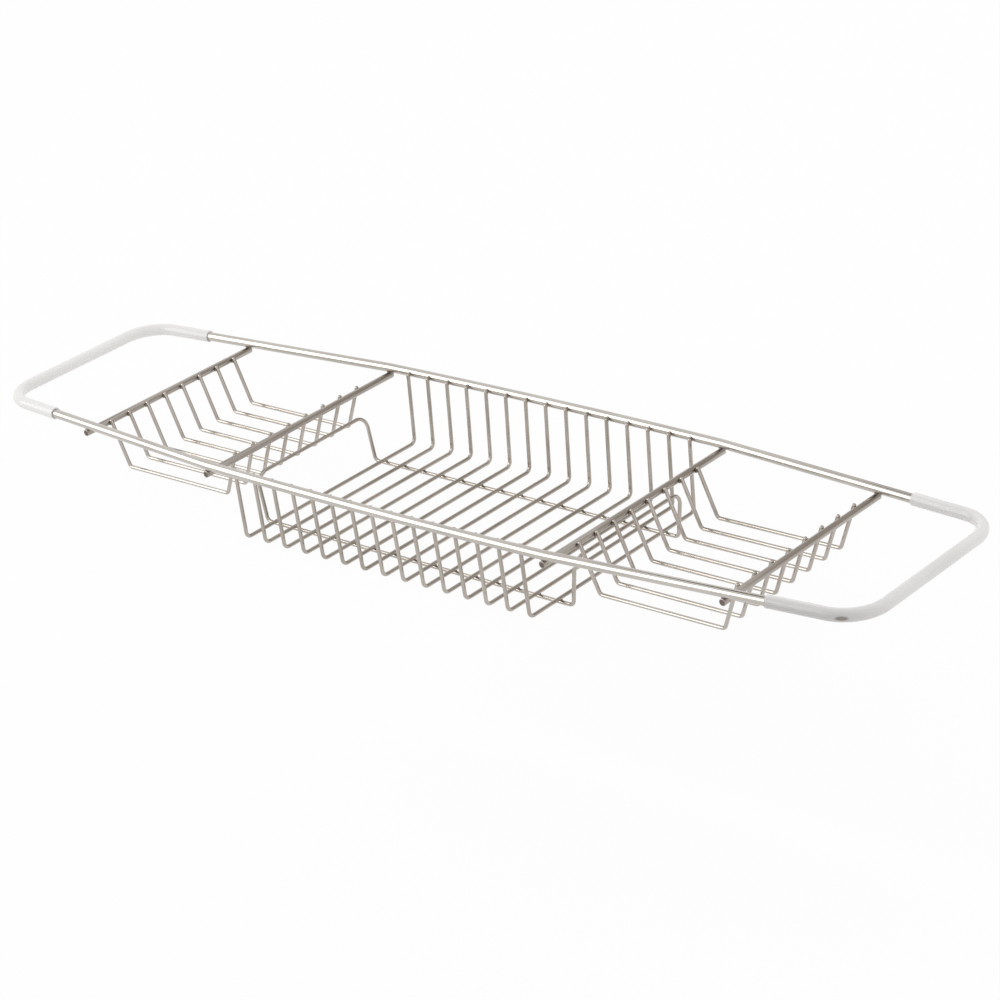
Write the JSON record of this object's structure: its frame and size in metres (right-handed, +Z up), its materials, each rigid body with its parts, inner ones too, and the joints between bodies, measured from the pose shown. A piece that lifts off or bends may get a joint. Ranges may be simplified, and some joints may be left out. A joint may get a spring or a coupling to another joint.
{
  "type": "bath rack",
  "caption": "Chrome wire bath rack that spans a bath: a closed rod loop with sleeved ends carries a deep middle basket and a shallow tray at each end.",
  "frame": {"origin": "midway along and across the rack, on the level surface that the middle basket's runner wire stands on", "axes": "+X along the rack to the end nearer the camera in the picture, +Y across it, +Z up"},
  "size_m": [0.7, 0.184, 0.0565],
  "materials": {
    "chrome_wire": "bright chrome plate over steel wire",
    "sleeve_plastic": "milky, slightly translucent soft plastic tube, satin gloss"
  },
  "bodies": {
    "root": {"frame_loop": "chrome_wire", "sleeve_left": "sleeve_plastic", "sleeve_right": "sleeve_plastic", "crossbar_1": "chrome_wire", "crossbar_2": "chrome_wire", "crossbar_3": "chrome_wire", "crossbar_4": "chrome_wire", "basket_wire_01": "chrome_wire", "basket_wire_02": "chrome_wire", "basket_wire_03": "chrome_wire", "basket_wire_04": "chrome_wire", "basket_wire_05": "chrome_wire", "basket_wire_06": "chrome_wire", "basket_wire_07": "chrome_wire", "basket_wire_08": "chrome_wire", "basket_wire_09": "chrome_wire", "basket_wire_10": "chrome_wire", "basket_wire_11": "chrome_wire", "basket_wire_12": "chrome_wire", "basket_wire_13": "chrome_wire", "basket_wire_14": "chrome_wire", "basket_wire_15": "chrome_wire", "runner_loop": "chrome_wire", "left_tray_wire_1": "chrome_wire", "left_tray_wire_2": "chrome_wire", "left_tray_wire_3": "chrome_wire", "left_tray_wire_4": "chrome_wire", "left_tray_wire_5": "chrome_wire", "left_tray_wire_6": "chrome_wire", "left_tray_wire_7": "chrome_wire", "left_tray_wire_8": "chrome_wire", "right_tray_wire_1": "chrome_wire", "right_tray_wire_2": "chrome_wire", "right_tray_wire_3": "chrome_wire", "right_tray_wire_4": "chrome_wire", "right_tray_wire_5": "chrome_wire", "right_tray_wire_6": "chrome_wire", "right_tray_wire_7": "chrome_wire", "right_tray_wire_8": "chrome_wire"}
  },
  "joints": []
}
